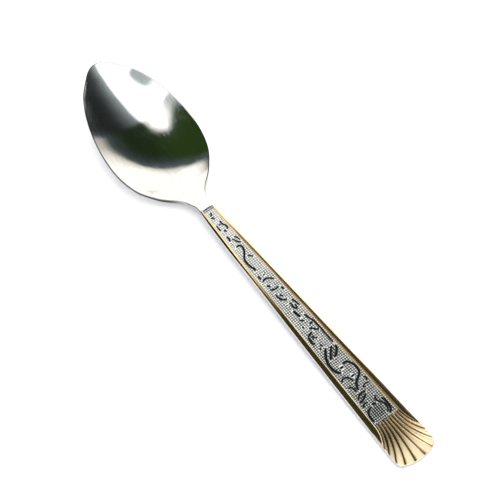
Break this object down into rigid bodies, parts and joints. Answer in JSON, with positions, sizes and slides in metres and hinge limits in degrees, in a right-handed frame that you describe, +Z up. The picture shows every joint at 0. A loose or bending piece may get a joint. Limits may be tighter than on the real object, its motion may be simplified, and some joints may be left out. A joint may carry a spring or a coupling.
{
  "type": "teaspoon",
  "caption": "Steel teaspoon with an egg-shaped bowl and a flat flaring handle carrying a scroll panel, gilt bevelled borders and a fluted shell end.",
  "frame": {"origin": "centre of the bounding box in plan, on the table plane the spoon lies on", "axes": "+X along the spoon from the bowl's tip to the handle's end, +Z up out of the bowl, +Y across to complete a right-handed frame"},
  "size_m": [0.142, 0.0276, 0.0133],
  "materials": {
    "polished_steel": "polished stainless steel with fine lengthwise brushing",
    "ground_steel": "cross-hatched satin ground, slightly darkened",
    "dark_steel": "darkened relief line with bright worn edges",
    "gilt": "thin bright gilding over steel"
  },
  "bodies": {
    "root": {"bowl": "polished_steel", "neck": "polished_steel", "handle_core": "polished_steel", "relief_panel": "ground_steel", "scroll_relief": "dark_steel", "border_left": "gilt", "border_right": "gilt", "neck_bars": "dark_steel", "shell_terminal": "gilt"}
  },
  "joints": []
}
